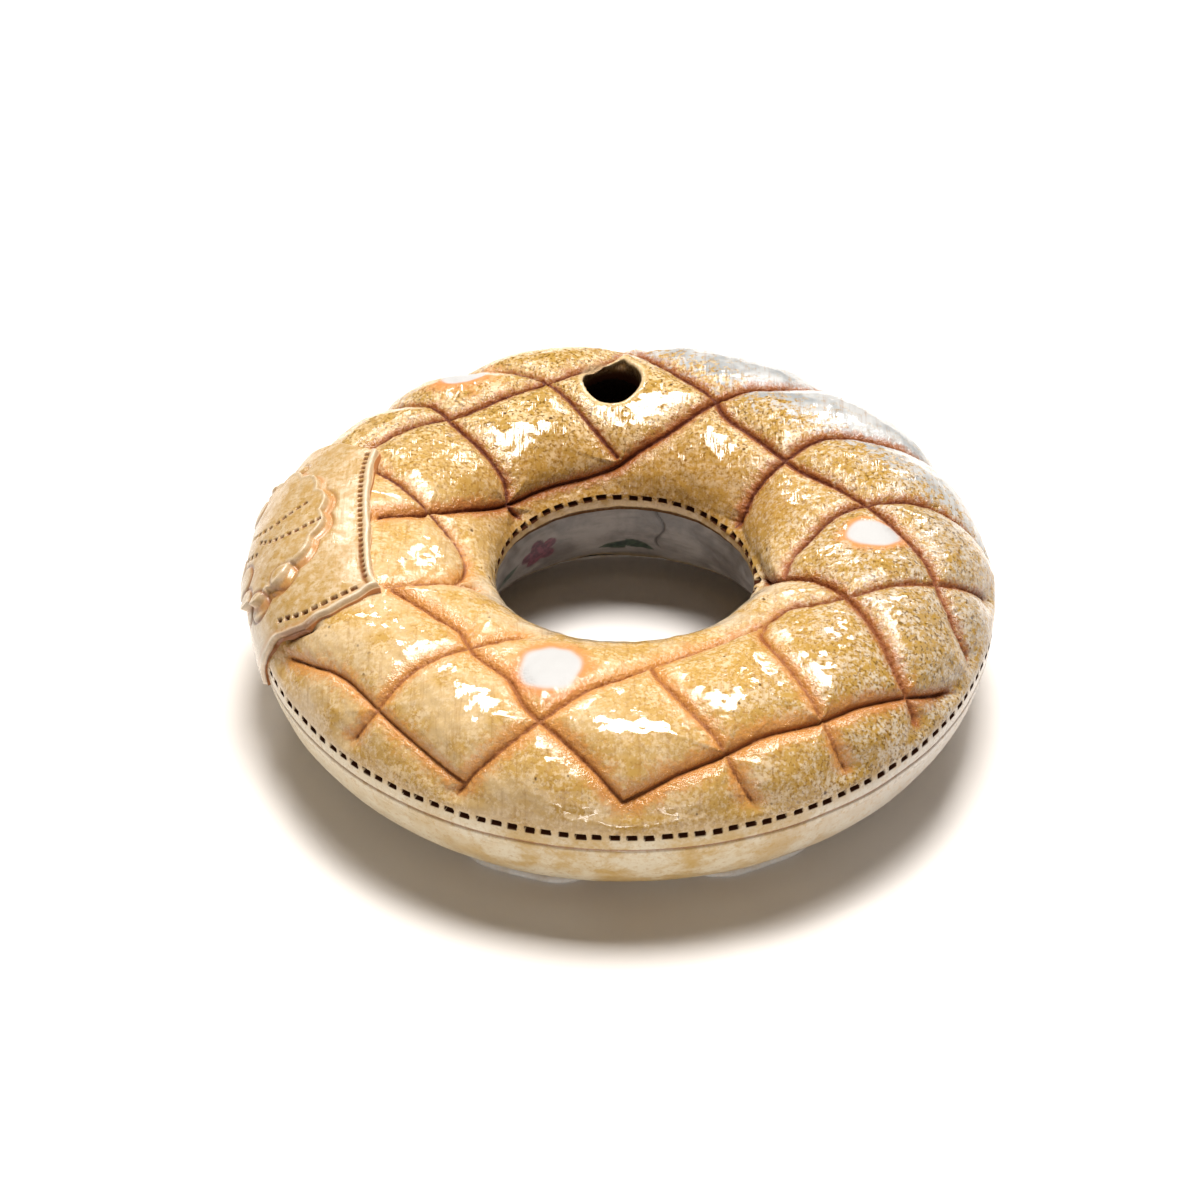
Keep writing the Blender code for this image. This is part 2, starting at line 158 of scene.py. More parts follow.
# Quilting seams: (strength, points), each a smooth line through a few (azimuth, section angle) points
SEAMS = (
    (1.0, ((-116, 65), (-125, 74), (-138, 87.5), (-153, 88), (-165, 84), (-175, 71), (-186, 40), (-191, 6))),
    (1.15, ((137, 5), (145, 62), (152, 81), (156, 97), (165, 123), (175, 141), (184, 154), (196, 161),
            (212, 161), (227, 159), (238, 152), (248, 139), (257, 123), (262, 111), (266, 92))),
    (0.7, ((-67, 88), (-66, 105), (-66, 125), (-65, 140))),
    (1.1, ((112, 6), (118, 45), (124, 74), (127, 95), (127, 118), (126, 143), (124, 160), (124, 176))),
    (0.8, ((-46, 5), (-44, 35), (-43, 65), (-41, 82), (-37, 102), (-32, 122))),
    (1.0, ((96, 6), (98, 33), (100, 60), (100, 85), (97, 109), (88, 131), (81, 139), (74, 139))),
    (0.9, ((-26, 5), (-23, 31), (-17, 60), (-9, 87), (0, 101), (13, 116), (30, 121), (46, 119), (54, 117),
           (60, 102), (71, 79), (78, 52), (83, 21), (85, 6))),
    (1.1, ((0, 22), (8, 37), (16, 45), (25, 51), (35, 47), (43, 44), (51, 33), (58, 16), (63, 4))),
    (0.8, ((-110, 81), (-106, 99), (-100, 116), (-90, 135), (-80, 141), (-72, 137), (-66, 126))),
    (0.95, ((-133, 5), (-134, 52), (-136, 73), (-134, 97), (-133, 122), (-131, 143), (-127, 159),
            (-131, 181))),
    (0.85, ((-145, 5), (-152, 50), (-160, 80), (-166, 109), (-171, 129), (-177, 146))),
    (1.0, ((188, 5), (182, 40), (175, 66), (172, 73), (165, 86), (157, 97), (151, 107), (136, 113),
           (121, 113), (108, 102), (97, 89), (88, 76), (80, 60), (74, 47), (70, 28), (69, 6))),
    (1.05, ((51, 5), (52, 31), (54, 52), (60, 80), (67, 105), (71, 124), (74, 149), (84, 170), (90, 179))),
    (0.8, ((36, 4), (35, 35), (36, 75), (38, 107), (44, 118))),
    (0.8, ((20, 8), (18, 30), (16, 56), (11, 82), (8, 98), (7, 109))),
    (0.95, ((-66, 91), (-59, 98), (-50, 102), (-44, 102), (-37, 95), (-26, 88), (-19, 72), (-11, 58),
            (-5, 42), (0, 22))),
    (0.8, ((-66, 20), (-62, 28), (-55, 39), (-48, 40), (-37, 33), (-30, 25), (-25, 19))),
)

# Painted flowers on the hole's wall: azimuth, section angle, radius and number of petals
SPRIGS = ((-141.0, 203.0, 4.4 * MM, 5), (-8.0, 207.0, 4.0 * MM, 6), (92.0, 204.0, 3.6 * MM, 5))
# Painted leaves there: azimuth, section angle, half length, half width and lean
LEAVES = (
    (-179.0, 212.0, 4.6 * MM, 1.9 * MM, 0.2), (176.0, 211.0, 4.4 * MM, 1.7 * MM, -0.5),
    (-122.0, 208.0, 4.2 * MM, 1.5 * MM, 0.6), (10.0, 209.0, 4.4 * MM, 1.6 * MM, -0.4),
    (76.0, 207.0, 4.0 * MM, 1.5 * MM, 0.5),
)
# Drying crack there
CRACK_AZIMUTH = 165.0
CRACK_HALF = 0.22 * MM
CRACK_DEPTH = 0.35 * MM
CRACK_FADE = (208.0, 216.0)


# Shape functions

def smooth(value, start, end):
    """0 at start, 1 at end, smooth between; works on arrays."""
    share = np.clip((value - start) / (end - start), 0.0, 1.0)
    return share * share * (3.0 - 2.0 * share)


def bell(value, half):
    """1 at zero, falling to about a third at half."""
    return np.exp(-(value / half) ** 2)


def ring_points(azimuth, section, inset=0.0):
    """Points of the plain ring, whose lower half is fuller, in arrays of the angles' common shape."""
    turn = np.radians(azimuth)
    angle = np.radians(section)
    across, rise = np.cos(angle), np.sin(angle)
    across = np.where(rise < 0, np.sign(across) * np.abs(across) ** BELLY_POWER, across)
    rise = np.where(rise < 0, -np.abs(rise) ** BELLY_POWER, rise)
    reach = np.where(across > 0, OUTER_RADIUS - CREST_RADIUS, CREST_RADIUS - HOLE_RADIUS)
    radius = CREST_RADIUS + (reach - inset) * across
    middle = OUTER_EQUATOR_HEIGHT + (INNER_EQUATOR_HEIGHT - OUTER_EQUATOR_HEIGHT) * (1.0 - across) / 2.0
    half = np.where(rise > 0, CREST_HEIGHT - middle, middle - BASE_LIFT) - inset
    height = middle + half * rise
    return np.stack([radius * np.sin(turn), -radius * np.cos(turn), height], axis=-1)


def unit(vectors):
    """Vectors made one long."""
    return vectors / np.linalg.norm(vectors, axis=-1, keepdims=True)


def ring_normals(azimuth, section):
    """Outward directions of the plain ring."""
    step = 0.25
    along = ring_points(azimuth + step, section) - ring_points(azimuth - step, section)
    over = ring_points(azimuth, section + step) - ring_points(azimuth, section - step)
    return unit(np.cross(along, over))


def smooth_line(points, step):
    """Close points on a Catmull-Rom curve through the (azimuth, section) points."""
    knots = np.array(points, dtype=float)
    knots = np.vstack([2 * knots[0] - knots[1], knots, 2 * knots[-1] - knots[-2]])
    runs = []
    for first in range(len(knots) - 3):
        a, b, c, d = knots[first:first + 4]
        length = np.linalg.norm(ring_points(c[0], c[1]) - ring_points(b[0], b[1]))
        t = np.linspace(0.0, 1.0, max(2, ceil(length / step)), endpoint=False)[:, None]
        runs.append((2 * b + (c - a) * t + (2 * a - 5 * b + 4 * c - d) * t ** 2
                     + (3 * b - a - 3 * c + d) * t ** 3) / 2)
    runs.append(knots[-2:-1])
    return np.vstack(runs)


def seam_tree():
    """A search tree over close points on all the seams, and the strength of the seam at each."""
    runs = [smooth_line(points, SEAM_STEP) for _, points in SEAMS]
    tree = KDTree(sum(map(len, runs)))
    for number, place in enumerate(ring_points(*np.vstack(runs).T)):
        tree.insert(place, number)
    tree.balance()
    return tree, np.concatenate([np.full(len(run), seam[0]) for seam, run in zip(SEAMS, runs)])


SEAM_TREE, SEAM_STRENGTHS = seam_tree()


def nearest_seam(points):
    """Distance to the nearest seam, and that seam's strength, for each point."""
    found = [SEAM_TREE.find(point) for point in points.reshape(-1, 3)]
    distance = np.array([hit[2] for hit in found]).reshape(points.shape[:-1])
    strength = SEAM_STRENGTHS[[hit[1] for hit in found]].reshape(points.shape[:-1])
    return distance, strength


def wobble(points, seed, size):
    """A smooth random field of about -1 to 1, made of a few waves; size is the waves' length."""
    draw = np.random.default_rng(seed)
    total = np.zeros(points.shape[:-1])
    for _ in range(7):
        direction = unit(draw.normal(size=3))
        length = size * draw.uniform(0.7, 1.6)
        total += np.sin(points @ direction * (2 * pi / length) + draw.uniform(0, 2 * pi))
    return total / 3.0


def swell(points):
    """The clay's slow unevenness."""
    return SWELL_HEIGHT * wobble(points, 11, SWELL_SIZE)


def vent_frame(points):
    """Distance from the vent's middle as a share of its half size, the bearing there, and the middle."""
    turn = radians(VENT_AZIMUTH)
    along = np.array([sin(turn), -cos(turn)])
    across = np.array([cos(turn), sin(turn)])
    centre = along * VENT_RADIUS_ON_RING
    offset = points[..., :2] - centre
    u = offset @ along / VENT_HALF_LENGTH
    v = offset @ across / VENT_HALF_WIDTH
    share = np.where(points[..., 2] > OUTER_EQUATOR_HEIGHT, np.hypot(u, v), 99.0)
    return share, np.degrees(np.arctan2(v, u)), centre


def stitch_mask(azimuth, section, count, centre_section):
    """1 inside the punched rectangles of a stitch row, 0 outside, with steep walls."""
    radius = np.linalg.norm(ring_points(azimuth, section)[..., :2], axis=-1)
    pitch = 360.0 / count
    number = np.floor(azimuth / pitch)
    lean = 0.10 * np.sin(number * 2.3) + 0.05 * np.sin(number * 5.1)
    along = ((azimuth / pitch) % 1.0 - 0.5 + lean * 0.4) * pitch * np.pi / 180 * radius
    over = ring_points(0.0, centre_section + 1.0) - ring_points(0.0, centre_section - 1.0)
    per_degree = np.linalg.norm(over) / 2
    across = (section - centre_section) * per_degree + 0.12 * MM * np.sin(number * 1.7)
    along = along + across * 0.15
    length = STITCH_LENGTH * (1.0 + 0.08 * np.sin(number * 3.7))
    gap = np.maximum(np.abs(along) - length / 2, np.abs(across) - STITCH_WIDTH / 2)
    return 1.0 - smooth(gap, -0.22 * MM, 0.10 * MM)


def seam_line(section):
    """1 along the incised line under the outer stitches, fading to both sides."""
    return bell((section - SEAM_LINE_SECTION) * 0.47 * MM, SEAM_LINE_HALF)


def relief(section, points, distance, strength):
    """Height of the skin over the plain ring, with seams of a strength at a distance from each point."""
    height = -SEAM_DEPTH * strength * np.exp(-distance / SEAM_REACH)
    height -= SEAM_CUT * strength * bell(distance, SEAM_CUT_HALF)
    height += 0.10 * MM * wobble(points, 13, 1.5 * MM) * strength * bell(distance, 2.4 * MM)
    height += swell(points) * (SWELL_BELOW + (1.0 - SWELL_BELOW) * smooth(section, -5, 15))
    height += 0.07 * MM * wobble(points, 12, 3.2 * MM) * smooth(section, 2, 12)
    height -= SEAM_LINE_DEPTH * seam_line(section)
    lip = smooth(section, LIP_START, LIP_END) * (1.0 - smooth(section, LIP_END, LIP_RECESS_END))
    height -= LIP_RECESS * lip
    return height


def wad_fields(points):
    """Shares of wad mark and of flashing at each point."""
    mark = np.zeros(points.shape[:-1])
    flash = np.zeros(points.shape[:-1])
    for number, (azimuth, section, half_along, half_across, reach) in enumerate(WADS):
        along = np.array([cos(radians(azimuth)), sin(radians(azimuth)), 0.0])
        across = np.cross(ring_normals(azimuth, section), along)
        offset = points - ring_points(azimuth, section)
        share = np.hypot(offset @ along / half_along, offset @ across / half_across)
        ragged = share * (1.0 + 0.04 * wobble(points, 31 + number, 5 * MM))
        mark = np.maximum(mark, 1.0 - smooth(ragged, 0.80, 1.08))
        beyond = (ragged - 1.0) * (half_along + half_across) / 2
        flash = np.maximum(flash, np.exp(-np.maximum(beyond, 0.0) / reach))
    return mark, flash


# Mesh builders

def grid_mesh(name, points, closed, attributes, keep, flip):
    """A sheet of quads over a grid of points (rows, columns), with a stacked unwrap for its surface."""
    rows, columns = points.shape[:2]
    mesh = bpy.data.meshes.new(name)
    last = columns if closed else columns - 1
    row, column = np.indices((rows - 1, last)).reshape(2, -1)
    following = (column + 1) % columns
    here, above = row * columns, (row + 1) * columns
    corners = np.stack([here + column, here + following, above + following, above + column], axis=1)
    strips = 2 if closed else 1
    strip_columns = last / strips
    strip = np.floor(column / strip_columns)
    u = (column - strip * strip_columns) / strip_columns
    v = row / (rows - 1)
    du, dv = 1.0 / strip_columns, 1.0 / (rows - 1)
    across = np.stack([u, u + du, u + du, u], axis=1) * 0.98 + 0.01
    up = (np.stack([v, v, v + dv, v + dv], axis=1) * 0.96 + 0.02 + strip[:, None]) / strips
    if keep is not None:
        wanted = keep.ravel()[corners].all(axis=1)
        corners, across, up = corners[wanted], across[wanted], up[wanted]
    if flip:
        corners, across, up = corners[:, ::-1], across[:, ::-1], up[:, ::-1]
    used, compact = np.unique(corners.ravel(), return_inverse=True)
    mesh.vertices.add(len(used))
    mesh.vertices.foreach_set("co", points.reshape(-1, 3)[used].astype(np.float32).ravel())
    mesh.loops.add(len(compact))
    mesh.loops.foreach_set("vertex_index", compact.astype(np.int32))
    mesh.polygons.add(len(corners))
    mesh.polygons.foreach_set("loop_start", np.arange(0, len(compact), 4, dtype=np.int32))
    mesh.update(calc_edges=True)
    unwrap = mesh.uv_layers.new(name="OFBake")
    unwrap.data.foreach_set("uv", np.stack([across, up], axis=-1).astype(np.float32).ravel())
    for key, values in attributes.items():
        layer = mesh.attributes.new(key, "FLOAT", "POINT")
        values = np.broadcast_to(values, points.shape[:-1]).reshape(-1)[used]
        layer.data.foreach_set("value", values.astype(np.float32))
    mesh.shade_smooth()
    mesh.validate()
    return mesh


def make_piece(name, material, points, fields, closed=True, keep=None, flip=False):
    """A piece of the ring over a grid of points, which rides on its body and stands for the solid."""
    mesh = grid_mesh(name, points, closed, fields, keep, flip)
    mesh.materials.append(material)
    item = bpy.data.objects.new(name, mesh)
    bpy.context.scene.collection.objects.link(item)
    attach(item, BODY)
    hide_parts(NODE)


def angle_grid(columns, sections):
    """Azimuths and section angles of a closed strip's grid, in degrees."""
    azimuths = -180.0 + 360.0 * np.arange(columns) / columns
    return np.meshgrid(azimuths, np.asarray(sections, dtype=float))


def along_edge(edge, value):
    """The edge's second angle at a value of its first one."""
    return np.interp(value, *np.array(edge).T)


def patch_gap_and_shadow(azimuth, section):
    """1 in the gap beside the lower part of the patch's front edge, which is sunk and painted dark as its
    shadow.
    """
    beside = (azimuth - along_edge(PATCH_FRONT_EDGE, section)) * OUTER_RADIUS * pi / 180
    along = smooth(section, 24.0, 32.0) * (1.0 - smooth(section, 44.0, 54.0))
    return bell(beside - 0.6 * MM, 0.8 * MM) * along


def skin(azimuth, section):
    """Points of the quilted skin, and the fields that its materials use."""
    plain = ring_points(azimuth, section)
    distance, strength = nearest_seam(plain)
    strength = strength * smooth(section, *SEAM_FADE_OUTER) * (1.0 - smooth(section, *SEAM_FADE_INNER))
    mark, flash = wad_fields(plain)
    # The gap is sunk and also painted dark as the shadow under the patch's lifted edge.
    gap = patch_gap_and_shadow(azimuth, section)
    height = relief(section, plain, distance, strength) - WAD_DEPTH * mark - PATCH_GAP_DEPTH * gap
    fields = {
        "crack": strength * bell(distance, SEAM_CRACK_HALF),
        "seam": strength * np.exp(-distance / SEAM_CORE_REACH),
        "halo": strength * np.exp(-distance / SEAM_HALO_REACH),
        "wad": mark,
        "flash": flash,
        "gap": gap,
    }
    return plain + ring_normals(azimuth, section) * height[..., None], fields


# Materials

class Nodes:
    """Short hand for building one material: its node tree, and its colour so far."""

    def __init__(self, name):
        self.material = bpy.data.materials.new(name)
        self.material.use_nodes = True
        self.tree = self.material.node_tree
        self.shader = self.tree.nodes["Principled BSDF"]
        self.colour = None

    def link(self, value, socket):
        """Set a socket from another socket, a mesh field's name, a colour or a number."""
        if isinstance(value, str):
            node = self.new("Attribute", {})
            node.attribute_name = value
            value = node.outputs["Fac"]
        if isinstance(value, bpy.types.NodeSocket):
            self.tree.links.new(value, socket)
        else:
            socket.default_value = (*value, 1.0) if isinstance(value, tuple) else value

    def place(self):
        """The surface's own position in metres."""
        return self.tree.nodes.new("ShaderNodeTexCoord").outputs["Object"]

    def new(self, kind, inputs):
        """A node of a kind, with its inputs set."""
        node = self.tree.nodes.new("ShaderNode" + kind)
        for name, value in inputs.items():
            self.link(value, node.inputs[name])
        return node

    def stretched(self, scale):
        """The position scaled differently along each axis."""
        return self.new("Mapping", {"Scale": list(scale), "Vector": self.place()}).outputs["Vector"]

    def noise(self, size, detail=3.0, rough=0.55, vector=None, distortion=0.0):
        """Smooth noise from 0 to 1, whose blobs are about size metres wide."""
        inputs = {"Scale": 1.0 / size, "Detail": detail, "Roughness": rough, "Distortion": distortion,
                  "Vector": self.place() if vector is None else vector}
        return self.new("TexNoise", inputs).outputs["Fac"]

    def cells(self, size):
        """Distance from the nearest of scattered points, in shares of their spacing."""
        return self.new("TexVoronoi", {"Scale": 1.0 / size, "Vector": self.place()}).outputs["Distance"]

    def range(self, value, low, high, to_low=0.0, to_high=1.0):
        """The value's stretch from low to high, smoothly mapped to another."""
        node = self.new("MapRange", {"Value": value, "From Min": low, "From Max": high,
                                     "To Min": to_low, "To Max": to_high})
        node.interpolation_type = "SMOOTHSTEP"
        return node.outputs["Result"]

    def math(self, operation, first, second):
        """One arithmetic step."""
        node = self.new("Math", {0: first, 1: second})
        node.operation = operation
        return node.outputs["Value"]

    def times(self, first, second):
        """The product of two numbers."""
        return self.math("MULTIPLY", first, second)

    def plus(self, first, second):
        """The sum of two numbers."""
        return self.math("ADD", first, second)

    def mix(self, share, first, second):
        """Two colours mixed by a share."""
        node = self.new("Mix", {})
        node.data_type = "RGBA"
        node.clamp_factor = True
        for name, value in {"Factor": share, "A": first, "B": second}.items():
            self.link(value, node.inputs[name])
        return node.outputs["Result"]

    def coat(self, share, colour, strength=1.0):
        """Lay a colour over the surface's own, as far as the share and the strength say."""
        self.colour = self.mix(self.times(share, strength), self.colour, colour)

    def bump(self, height, strength, distance, normal=None):
        """A fine relief in the shading."""
        node = self.new("Bump", {"Strength": strength, "Distance": distance, "Height": height})
        if normal is not None:
            self.link(normal, node.inputs["Normal"])
        return node.outputs["Normal"]

    def axis(self, number):
        """One coordinate of the position."""
        return self.new("SeparateXYZ", {"Vector": self.place()}).outputs[number]

    def finish(self, roughness, normal=None, specular=0.5):
        """Connect the surface."""
        self.link(self.colour, self.shader.inputs["Base Color"])
        self.link(roughness, self.shader.inputs["Roughness"])
        self.link(specular, self.shader.inputs["Specular IOR Level"])
        if normal is not None:
            self.link(normal, self.shader.inputs["Normal"])
        return self.material


OCHRE = (0.50, 0.30, 0.08)
OCHRE_DEEP = (0.29, 0.13, 0.022)
OLIVE = (0.40, 0.235, 0.052)
OLIVE_DEEP = (0.14, 0.07, 0.012)
CREAM = (0.68, 0.50, 0.28)
SAND = (0.64, 0.48, 0.28)
FLASH_ORANGE = (0.62, 0.25, 0.09)
SEAM_BROWN = (0.27, 0.085, 0.033)
SEAM_RED_SHADED = (0.27, 0.08, 0.022)
SEAM_TAN = (0.42, 0.16, 0.045)
SEAM_ORANGE = (0.56, 0.24, 0.06)
SEAM_RUST_SHADED = (0.34, 0.115, 0.03)
SEAM_CRACK_SHADE = (0.13, 0.032, 0.012)
ASH_WHITE = (0.48, 0.475, 0.46)
ASH_GREY = (0.30, 0.31, 0.31)
WAD_WHITE = (0.45, 0.44, 0.425)
IRON_DARK = (0.10, 0.055, 0.025)
CLAY_WHITE = (0.72, 0.63, 0.46)
CLAY_OCHRE = (0.55, 0.365, 0.13)
CLAY_GREY = (0.60, 0.56, 0.51)
HOLE_PAINTED_SHADE = (0.045, 0.014, 0.006)
WALL_GREY_SHADED = (0.13, 0.11, 0.10)
WALL_PALE_SHADED = (0.25, 0.22, 0.20)
GAP_PAINTED_SHADOW = (0.05, 0.035, 0.025)
WALL_DARK = (0.11, 0.10, 0.09)
WALL_OCHRE = (0.36, 0.24, 0.08)
PAINT_PINK = ((0.06, 0.01, 0.022), (0.15, 0.035, 0.055))
PAINT_GREEN = ((0.01, 0.022, 0.015), (0.03, 0.05, 0.03))
CRACK_DARK = (0.03, 0.022, 0.018)
PATCH_OCHRE = (0.43, 0.26, 0.085)
PATCH_CREAM = (0.55, 0.41, 0.245)
PATCH_OLIVE = (0.36, 0.215, 0.05)
PATCH_WHITE = (0.76, 0.69, 0.57)
PATCH_PALE = (0.66, 0.56, 0.42)
PATCH_ORANGE = (0.46, 0.20, 0.06)
PATCH_BROWN_AND_SHADE = (0.24, 0.09, 0.035)
PATCH_SIDE = (0.40, 0.15, 0.045)
PATCH_HOLE_SHADE = (0.16, 0.05, 0.016)
FOOT_WHITE = (0.95, 0.94, 0.92)
FOOT_STAIN = (0.84, 0.77, 0.68)
FOOT_CREVICE_SHADE = (0.30, 0.15, 0.07)
INSIDE_SHADE_DARK = (0.05, 0.028, 0.015)
INSIDE_SHADE_BROWN = (0.11, 0.06, 0.035)
SLOPE_PALE = (0.62, 0.54, 0.42)
FLOOR_WHITE = (0.86, 0.82, 0.78)
LIGHT_NEUTRAL = (1.0, 0.98, 0.96)


def speckled_ochre(nodes):
    """The top's glaze: ochre in front, olive to the right and back, mottled pale and specked dark."""
    right = nodes.range(nodes.axis("X"), 0.010, 0.060)
    back = nodes.range(nodes.axis("Y"), -0.005, 0.040)
    turned = nodes.math("MAXIMUM", right, back)
    pale = nodes.mix(nodes.times(right, 0.5), CREAM, ASH_WHITE)
    blotch = nodes.plus(nodes.noise(5.0 * MM, 3.0, 0.6), -0.5)
    mottle = nodes.plus(nodes.noise(0.9 * MM, 3.0, 0.7), nodes.times(blotch, 0.6))
    nodes.colour = nodes.mix(nodes.range(mottle, 0.42, 0.66), nodes.mix(turned, OCHRE, OLIVE), pale)
    fine = nodes.range(nodes.noise(0.7 * MM, 3.0, 0.6), 0.52, 0.64)
    strength = nodes.plus(0.5, nodes.times(turned, 0.45))
    nodes.coat(fine, nodes.mix(turned, OCHRE_DEEP, OLIVE_DEEP), strength)
    specks = nodes.range(nodes.cells(2.8 * MM), 0.17, 0.09)
    nodes.coat(specks, IRON_DARK, nodes.range(nodes.noise(5 * MM, 2.0), 0.52, 0.60))


def glaze_zones(nodes):
    """Sandy in front on the left, pale round the front of the hole and darker round its back as painted
    shade, ash-white outside at the back and right.
    """
    x, y = nodes.axis("X"), nodes.axis("Y")
    left_front = nodes.plus(nodes.times(x, -1.0), nodes.times(y, -0.6))
    blotch = nodes.noise(9 * MM, 3.0, 0.6)
    grains = nodes.noise(1.5 * MM, 4.0, 0.75)
    sand = nodes.times(nodes.range(left_front, 0.0, 0.075), nodes.range(blotch, 0.36, 0.60))
    nodes.coat(sand, SAND, 0.6)
    near_hole = nodes.range(nodes.plus(nodes.times(x, x), nodes.times(y, y)), 0.0016, 0.0009)
    front = nodes.times(nodes.range(y, 0.005, -0.015), nodes.range(blotch, 0.40, 0.56))
    nodes.coat(nodes.times(near_hole, front), SLOPE_PALE, 0.6)
    # Painted shade: the inner slope behind the hole is darkened.
    nodes.coat(near_hole, OCHRE_DEEP, nodes.range(y, 0.0, 0.015, 0.0, 0.45))
    right_edge = nodes.times(nodes.range(x, 0.050, 0.078), nodes.range(grains, 0.42, 0.58))
    nodes.coat(right_edge, ASH_WHITE, 0.5)
    back_right = nodes.plus(nodes.times(x, 0.62), nodes.times(y, 0.78))
    ash = nodes.plus(nodes.range(back_right, 0.039, 0.061), nodes.range(grains, 0.35, 0.70, -0.45, 0.35))
    nodes.coat(nodes.range(ash, 0.25, 0.75), nodes.mix(nodes.range(blotch, 0.42, 0.62), ASH_WHITE, ASH_GREY))


def glaze_relief(nodes, ribs=True):
    """Orange-peel gloss over faint cloth ribs."""
    peel = nodes.noise(2.2 * MM, 2.0, 0.5)
    grain = nodes.noise(0.6 * MM, 2.0, 0.6)
    normal = nodes.bump(peel, 0.4, 0.26 * MM)
    normal = nodes.bump(grain, 0.2, 0.05 * MM, normal)
    if not ribs:
        return normal
    streaks = nodes.noise(RIB_PITCH, 2.0, 0.6, nodes.stretched((1.0, 0.10, 0.10)), 0.2)
    streaks = nodes.times(streaks, nodes.range(nodes.axis("Y"), -0.030, 0.020, 0.15, 1.0))
    return nodes.bump(streaks, 0.6, 0.24 * MM, normal)


def matt_in_holes(nodes):
    """A specular level that fades out where the mesh says hole."""
    return nodes.times(nodes.math("SUBTRACT", 1.0, "hole"), 0.5)


def cushion_material():
    """The quilted top: speckled glaze, red-brown in the seams and painted darker towards the back as shade,
    white wad marks with orange flashing, holes and gaps painted dark as shade.
    """
    nodes = Nodes("quilted_glaze")
    speckled_ochre(nodes)
    glaze_zones(nodes)
    streaks = nodes.noise(RIB_PITCH, 3.0, 0.6, nodes.stretched((1.0, 0.08, 0.08)), 0.3)
    nodes.coat(nodes.range(streaks, 0.52, 0.72, 0.0, 0.35), OCHRE_DEEP)
    coarse = nodes.plus(nodes.noise(2.2 * MM, 3.0, 0.65), -0.5)
    fine = nodes.plus(nodes.noise(0.8 * MM, 4.0, 0.7), -0.5)
    ragged = nodes.plus(nodes.times(fine, 0.8), nodes.times(coarse, 0.9))
    # Towards the back and right the seams are painted darker, rust and red over the glaze's own red-brown, as
    # painted shade.
    turned = nodes.plus(nodes.axis("Y"), nodes.times(nodes.axis("X"), 0.6))
    turned = nodes.range(turned, -0.040, 0.010)
    halo = nodes.plus(nodes.plus("halo", nodes.times(ragged, 0.8)), nodes.times(turned, -0.23))
    nodes.coat(nodes.range(halo, 0.20, 0.68, 0.0, 0.9), nodes.mix(turned, SEAM_ORANGE, SEAM_RUST_SHADED))
    flash = nodes.plus("flash", nodes.times(ragged, 0.7))
    nodes.coat(nodes.range(flash, 0.30, 0.90, 0.0, 0.85), FLASH_ORANGE)
    # back: painted shade that deepens the seams' cores and cracks towards the back.
    back = nodes.range(nodes.axis("Y"), -0.030, 0.025, 0.35, 1.0)
    core = nodes.plus(nodes.plus("seam", nodes.times(ragged, 0.75)), nodes.times(back, 0.12))
    nodes.coat(nodes.range(core, 0.36, 0.85), nodes.mix(turned, SEAM_TAN, SEAM_RED_SHADED))
    # The seams' thin cracks are painted dark as shade in the cut, most at the back.
    crack = nodes.plus("crack", nodes.times(ragged, 0.8))
    nodes.coat(nodes.range(crack, 0.28, 0.65), SEAM_CRACK_SHADE, back)
    nodes.coat("rim", CREAM)
    # Painted shadow in the gap beside the patch's front edge.
    nodes.coat("gap", GAP_PAINTED_SHADOW, 0.9)
    nodes.coat("wad", WAD_WHITE)
    # Painted shade: stitch holes, the vent's shaft and the recess under the inner lip are coloured
    # near-black.
    nodes.coat("hole", HOLE_PAINTED_SHADE)
    rough = nodes.range(nodes.noise(3 * MM), 0.3, 0.7, 0.03, 0.07)
    rough = nodes.math("MAXIMUM", rough, nodes.times("wad", 0.55))
    rough = nodes.math("MAXIMUM", rough, nodes.range("seam", 0.2, 0.8, 0.0, 0.4))
    rough = nodes.math("MAXIMUM", rough, nodes.times("hole", 0.9))
    wrinkles = nodes.times(nodes.noise(0.8 * MM, 3.0, 0.6), nodes.range("halo", 0.1, 0.9))
    normal = nodes.bump(wrinkles, 1.0, 0.6 * MM, glaze_relief(nodes))
    gloss = nodes.times(matt_in_holes(nodes), nodes.range("seam", 0.1, 0.7, 1.0, 0.35))
    return nodes.finish(rough, normal, gloss)


def slip_colour(nodes):
    """The lower half's slip: ochre in front, cream to the left, grey-white to the right."""
    x = nodes.axis("X")
    blush = nodes.range(nodes.noise(8 * MM, 4.0, 0.65), 0.36, 0.62)
    nodes.colour = nodes.mix(blush, CLAY_OCHRE, CLAY_WHITE)
    nodes.coat(nodes.range(x, -0.010, -0.060), CLAY_WHITE, 0.8)
    nodes.coat(nodes.range(x, 0.015, 0.060), CLAY_GREY, 0.85)
    nodes.coat(nodes.range(nodes.noise(1.1 * MM, 4.0, 0.7), 0.50, 0.66), OCHRE, 0.5)


def base_material():
    """The lower half: smooth cream slip with ochre blushes, brown in the incised line, and painted dark grey
    towards the hole as shade.
    """
    nodes = Nodes("cream_slip")
    slip_colour(nodes)
    # Painted shade: the underside towards the hole takes the darkened wall grey.
    nodes.coat("inside", WALL_GREY_SHADED)
    nodes.coat("line", SEAM_BROWN, 0.75)
    rough = nodes.range(nodes.noise(4 * MM), 0.3, 0.7, 0.28, 0.48)
    return nodes.finish(rough, glaze_relief(nodes, ribs=False))


